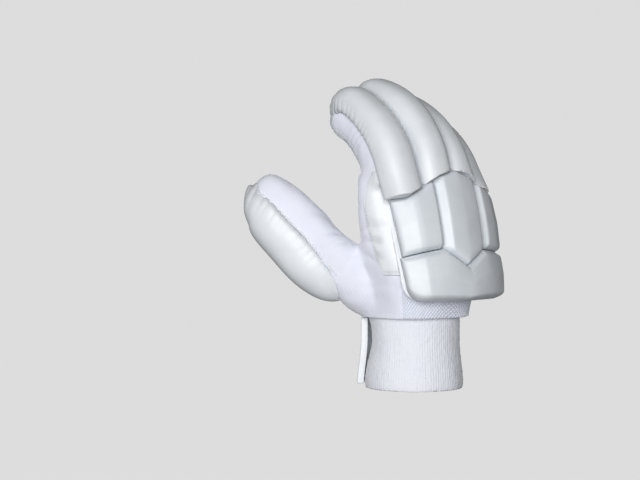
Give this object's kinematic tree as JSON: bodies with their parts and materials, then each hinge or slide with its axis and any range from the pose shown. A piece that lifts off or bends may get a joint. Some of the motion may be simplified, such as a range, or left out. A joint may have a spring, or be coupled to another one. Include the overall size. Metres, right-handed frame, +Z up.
{
  "type": "cricket batting glove",
  "caption": "Right-hand batting glove with padded finger rolls, padded blocks over the back of the hand, a padded thumb, a towelling cuff and a wrist strap.",
  "frame": {"origin": "middle of the cuff's mouth, where the hand goes in", "axes": "+Z up the arm to the fingers, -Y out of the back of the hand, -X towards the thumb"},
  "size_m": [0.1861, 0.1611, 0.264],
  "materials": {
    "leather": "white coated leather with a fine grain, satin",
    "grey_leather": "silver-grey coated leather, satin",
    "palm_leather": "soft off-white leather, matte",
    "cloth": "white stretch cloth, matte",
    "knit": "white waffle knit, matte",
    "towelling": "white towelling, fuzzy"
  },
  "bodies": {
    "root": {"cuff": "towelling", "wrist_strap": "leather", "strap_patch": "grey_leather", "hand_shell": "cloth", "index_finger_sleeve": "cloth", "middle_finger_sleeve": "cloth", "ring_finger_sleeve": "cloth", "little_finger_sleeve": "cloth", "thumb_sleeve": "cloth", "thumb_pad": "leather", "wrist_panel": "knit", "back_base_panel": "leather", "index_knuckle_pad": "grey_leather", "centre_knuckle_pad": "grey_leather", "little_knuckle_pad": "grey_leather", "lower_back_pad": "grey_leather", "index_finger_roll": "leather", "middle_finger_roll": "leather", "ring_finger_roll": "leather", "little_finger_roll": "leather", "side_panel": "leather", "palm_patch": "palm_leather", "palm_point": "palm_leather", "index_palm_strip": "palm_leather", "index_tip_patch": "palm_leather", "middle_palm_patch": "palm_leather", "ring_palm_patch": "palm_leather", "little_palm_patch": "palm_leather"}
  },
  "joints": []
}
